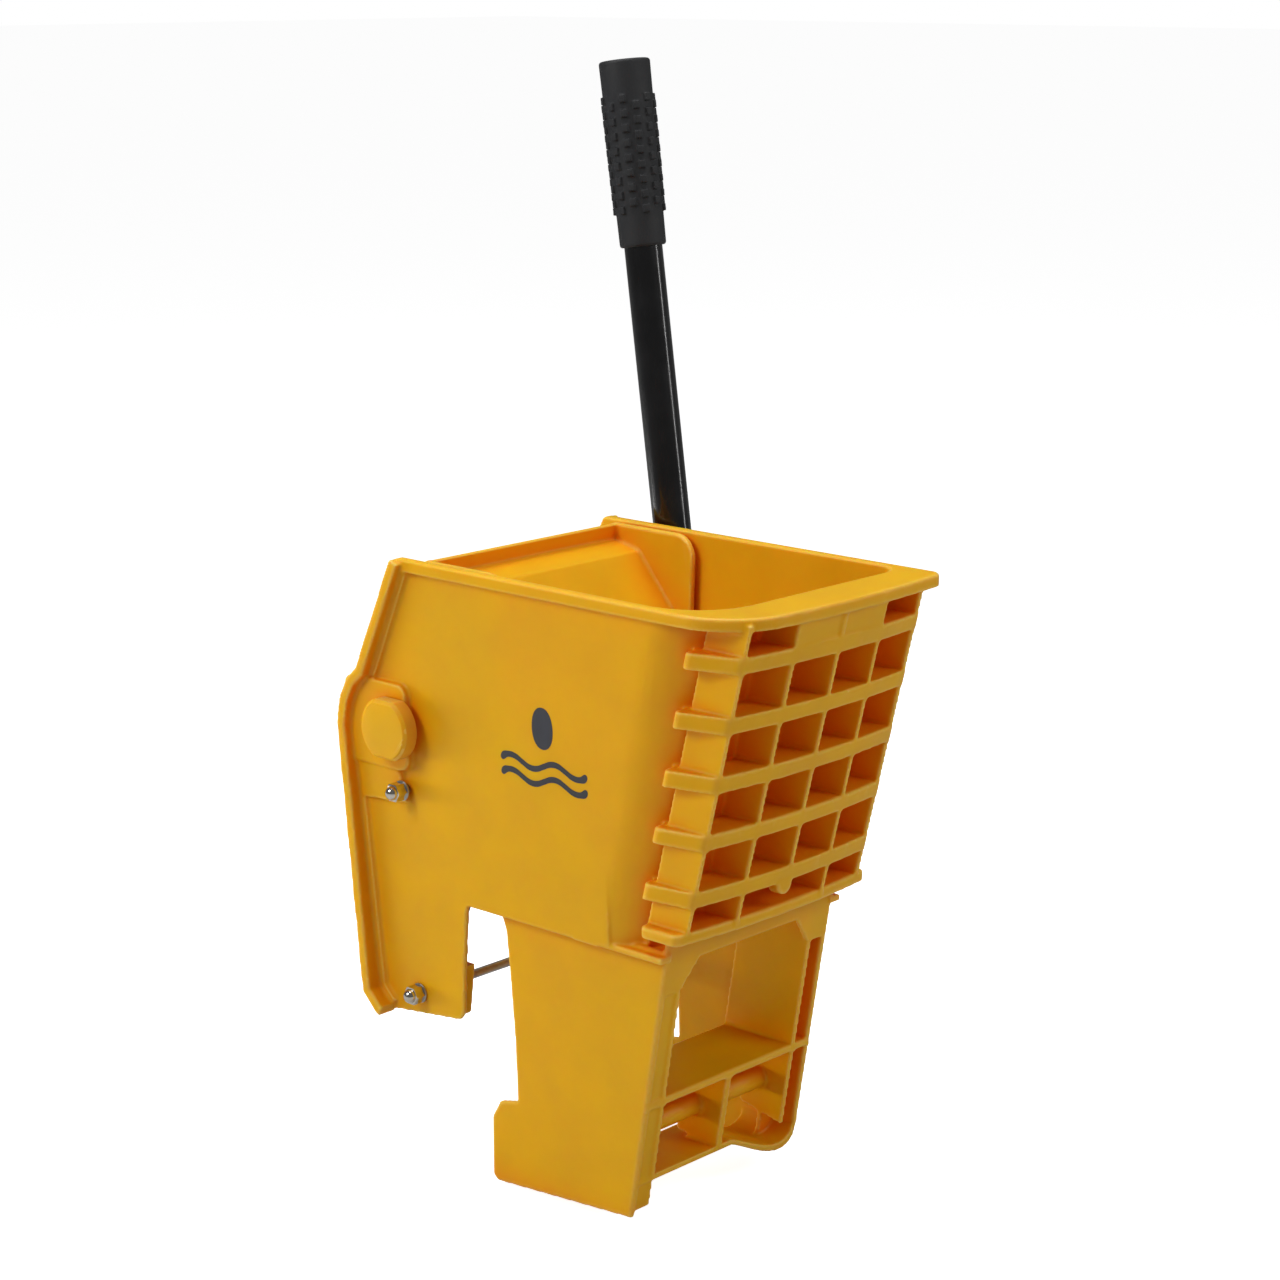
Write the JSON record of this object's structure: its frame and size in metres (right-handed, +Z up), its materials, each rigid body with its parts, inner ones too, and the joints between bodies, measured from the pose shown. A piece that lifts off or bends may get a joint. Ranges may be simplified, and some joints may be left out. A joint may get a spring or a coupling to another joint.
{
  "type": "side-press mop wringer",
  "caption": "Side-press mop wringer with a ribbed basket, hinged press plate, geared drive shaft and a long gripped handle, hung on a bucket's end wall by a slot.",
  "frame": {"origin": "top of the slot that hangs on the bucket's end wall, midway between the two side walls", "axes": "+Z up, +X to the handle side, -Y to the front grille"},
  "size_m": [0.2453, 0.341, 0.7066],
  "materials": {
    "yellow_moulding": "injection-moulded yellow polypropylene, satin",
    "bearing_plastic": "natural acetal, machined",
    "gear_plastic": "black glass-filled nylon, moulded",
    "zinc_steel": "zinc-plated steel",
    "nickel_nut": "nickel-plated, bright",
    "black_casting": "cast iron, black powder coat",
    "black_tube": "steel tube, gloss black enamel",
    "grip_rubber": "black moulded rubber, matte",
    "spring_steel": "drawn spring wire"
  },
  "bodies": {
    "root": {"housing": "yellow_moulding", "shaft_bushes": "bearing_plastic", "hinge_rod": "zinc_steel", "bearing_bolts": "zinc_steel", "bearing_bolt_washers": "zinc_steel", "bearing_bolt_acorn_nuts": "nickel_nut", "tie_rod": "zinc_steel", "tie_rod_washers": "zinc_steel", "tie_rod_acorn_nuts": "nickel_nut", "tie_rod_lock_nuts": "zinc_steel", "rest_bumpers": "grip_rubber", "return_spring_left": "spring_steel", "return_spring_right": "spring_steel"},
    "press": {"press_plate": "yellow_moulding", "plate_bushes": "bearing_plastic"},
    "lever": {"drive_shaft": "zinc_steel", "drive_sector_left": "gear_plastic", "drive_sector_right": "gear_plastic", "sector_pins": "zinc_steel", "shaft_end_cap": "yellow_moulding", "handle_socket": "black_casting", "handle_tube": "black_tube", "handle_grip": "grip_rubber", "handle_bolts": "zinc_steel", "handle_nuts": "zinc_steel"}
  },
  "joints": [
    {"name": "handle_pull", "type": "hinge", "parent": "root", "child": "lever", "pos_m": [0, 0.067, 0.11], "axis": [-1, 0, 0], "range_deg": [0, 74]},
    {"name": "plate_press", "type": "hinge", "parent": "root", "child": "press", "pos_m": [0, -0.12099, 0.021], "axis": [1, 0, 0], "range_deg": [0, 30], "deforming": ["return_spring_left", "return_spring_right"]}
  ],
  "couplings": [
    {"joint": "plate_press", "follows": "handle_pull", "ratio": 0.40541}
  ]
}
